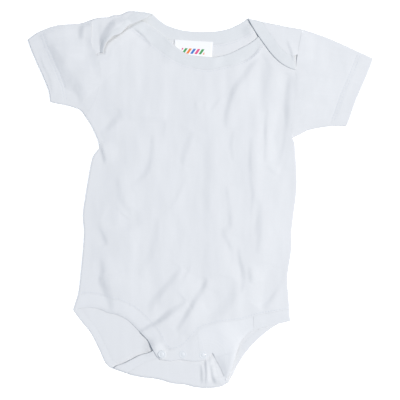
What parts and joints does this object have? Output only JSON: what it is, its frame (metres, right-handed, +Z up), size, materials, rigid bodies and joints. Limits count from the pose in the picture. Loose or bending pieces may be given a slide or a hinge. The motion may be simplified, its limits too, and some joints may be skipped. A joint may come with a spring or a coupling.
{
  "type": "baby onesie",
  "caption": "Short-sleeved baby bodysuit in pale jersey, laid flat face up, with envelope shoulder laps, rib neck and leg bindings, and a snap crotch.",
  "frame": {"origin": "on the ground under the middle of the garment's outline", "axes": "+Y towards the neck, +X towards the wearer's left sleeve, +Z up from the back to the front"},
  "size_m": [0.3784, 0.4138, 0.0084],
  "materials": {
    "jersey": "matt cotton jersey, very pale blue-white",
    "rib": "matt cotton rib, very pale blue-white",
    "label": null,
    "snap": "pearl white snap cap"
  },
  "bodies": {
    "root": {"back_panel": "jersey", "front_panel": "jersey", "sleeve_right": "jersey", "sleeve_left": "jersey", "neckband_back": "rib", "neckband_front": "rib", "leg_binding_right_back": "rib", "leg_binding_left_back": "rib", "leg_binding_right_front": "rib", "leg_binding_left_front": "rib", "snap_placket_front": "rib", "neck_label": "label", "snap_1": "snap", "snap_2": "snap", "snap_3": "snap"}
  },
  "joints": []
}
